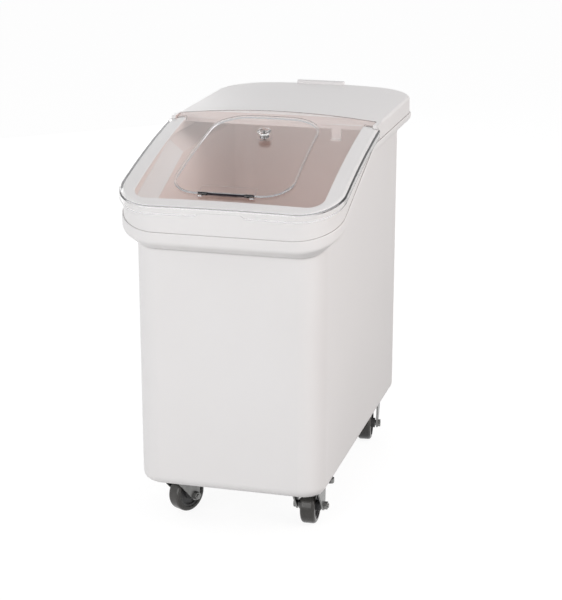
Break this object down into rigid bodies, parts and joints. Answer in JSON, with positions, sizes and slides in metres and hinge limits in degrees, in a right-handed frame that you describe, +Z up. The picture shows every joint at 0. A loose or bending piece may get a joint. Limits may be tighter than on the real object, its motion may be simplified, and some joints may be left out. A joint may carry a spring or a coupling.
{
  "type": "rolling ingredient bin",
  "caption": "Tall white tub on braked swivel casters, with a lift-off hood, a bowed clear flip-up lid and a hinged hatch flap in it, for storing and scooping dry ingredients.",
  "frame": {"origin": "on the ground, under the middle of the bin's outline", "axes": "+Z up, -Y towards the bin's low front edge and mouth, +X to the right seen from the front"},
  "size_m": [0.409, 0.722, 0.7245],
  "materials": {
    "white_plastic": "satin moulded",
    "clear_plastic": "clear polished",
    "dark_rod": "semi-gloss",
    "zinc_steel": "zinc plated",
    "wheel_plastic": "moulded",
    "grey_rubber": "matte"
  },
  "bodies": {
    "tub": {"tub": "white_plastic", "front_left_plate": "zinc_steel", "front_left_kingpin": "zinc_steel", "front_right_plate": "zinc_steel", "front_right_kingpin": "zinc_steel", "rear_left_plate": "zinc_steel", "rear_left_kingpin": "zinc_steel", "rear_right_plate": "zinc_steel", "rear_right_kingpin": "zinc_steel", "plate_screws": "zinc_steel"},
    "hood": {"hood": "white_plastic", "lid_pin_left": "zinc_steel", "lid_pin_right": "zinc_steel"},
    "lid": {"clear_lid": "clear_plastic", "hatch_hinge_pin": "dark_rod"},
    "hatch": {"hatch_flap": "clear_plastic", "hatch_knob": "clear_plastic", "knob_screw": "zinc_steel"},
    "front_left_swivel": {"front_left_fork": "zinc_steel", "front_left_balls": "zinc_steel", "front_left_axle_bolt": "zinc_steel", "front_left_axle_nut": "zinc_steel", "front_left_axle_sleeve": "zinc_steel", "front_left_pedal_pin": "zinc_steel"},
    "front_left_wheel": {"front_left_wheel_hub": "wheel_plastic", "front_left_tyre": "grey_rubber"},
    "front_left_pedal": {"front_left_brake_pedal": "zinc_steel"},
    "front_right_swivel": {"front_right_fork": "zinc_steel", "front_right_balls": "zinc_steel", "front_right_axle_bolt": "zinc_steel", "front_right_axle_nut": "zinc_steel", "front_right_axle_sleeve": "zinc_steel", "front_right_pedal_pin": "zinc_steel"},
    "front_right_wheel": {"front_right_wheel_hub": "wheel_plastic", "front_right_tyre": "grey_rubber"},
    "front_right_pedal": {"front_right_brake_pedal": "zinc_steel"},
    "rear_left_swivel": {"rear_left_fork": "zinc_steel", "rear_left_balls": "zinc_steel", "rear_left_axle_bolt": "zinc_steel", "rear_left_axle_nut": "zinc_steel", "rear_left_axle_sleeve": "zinc_steel"},
    "rear_left_wheel": {"rear_left_wheel_hub": "wheel_plastic", "rear_left_tyre": "grey_rubber"},
    "rear_right_swivel": {"rear_right_fork": "zinc_steel", "rear_right_balls": "zinc_steel", "rear_right_axle_bolt": "zinc_steel", "rear_right_axle_nut": "zinc_steel", "rear_right_axle_sleeve": "zinc_steel"},
    "rear_right_wheel": {"rear_right_wheel_hub": "wheel_plastic", "rear_right_tyre": "grey_rubber"}
  },
  "joints": [
    {"name": "hood_lift", "type": "slide", "parent": "tub", "child": "hood", "axis": [0, 0, 1], "range_m": [0, 0.3]},
    {"name": "lid_hinge", "type": "hinge", "parent": "hood", "child": "lid", "pos_m": [0, -0.013, 0.7025], "axis": [-1, 0, 0], "range_deg": [0, 110]},
    {"name": "hatch_hinge", "type": "hinge", "parent": "lid", "child": "hatch", "pos_m": [0, -0.325, 0.63558], "axis": [1, 0, 0], "range_deg": [0, 110]},
    {"name": "front_left_swivel_turn", "type": "hinge", "parent": "tub", "child": "front_left_swivel", "pos_m": [-0.128, -0.255, 0.087], "axis": [0, 0, 1], "continuous": true},
    {"name": "front_left_wheel_roll", "type": "hinge", "parent": "front_left_swivel", "child": "front_left_wheel", "pos_m": [-0.11298, -0.22675, 0.035], "axis": [0.8829, -0.4695, 0], "continuous": true},
    {"name": "front_left_brake_press", "type": "hinge", "parent": "front_left_swivel", "child": "front_left_pedal", "pos_m": [-0.10969, -0.22057, 0.0745], "axis": [-0.8829, 0.4695, 0], "range_deg": [0, 18]},
    {"name": "front_right_swivel_turn", "type": "hinge", "parent": "tub", "child": "front_right_swivel", "pos_m": [0.128, -0.255, 0.087], "axis": [0, 0, 1], "continuous": true},
    {"name": "front_right_wheel_roll", "type": "hinge", "parent": "front_right_swivel", "child": "front_right_wheel", "pos_m": [0.12688, -0.22302, 0.035], "axis": [0.9994, 0.0349, 0], "continuous": true},
    {"name": "front_right_brake_press", "type": "hinge", "parent": "front_right_swivel", "child": "front_right_pedal", "pos_m": [0.12664, -0.21602, 0.0745], "axis": [-0.9994, -0.0349, 0], "range_deg": [0, 18]},
    {"name": "rear_left_swivel_turn", "type": "hinge", "parent": "tub", "child": "rear_left_swivel", "pos_m": [-0.128, 0.255, 0.087], "axis": [0, 0, 1], "continuous": true},
    {"name": "rear_left_wheel_roll", "type": "hinge", "parent": "rear_left_swivel", "child": "rear_left_wheel", "pos_m": [-0.12466, 0.22318, 0.035], "axis": [-0.9945, -0.1045, 0], "continuous": true},
    {"name": "rear_right_swivel_turn", "type": "hinge", "parent": "tub", "child": "rear_right_swivel", "pos_m": [0.128, 0.255, 0.087], "axis": [0, 0, 1], "continuous": true},
    {"name": "rear_right_wheel_roll", "type": "hinge", "parent": "rear_right_swivel", "child": "rear_right_wheel", "pos_m": [0.13134, 0.22318, 0.035], "axis": [-0.9945, -0.1045, 0], "continuous": true}
  ]
}
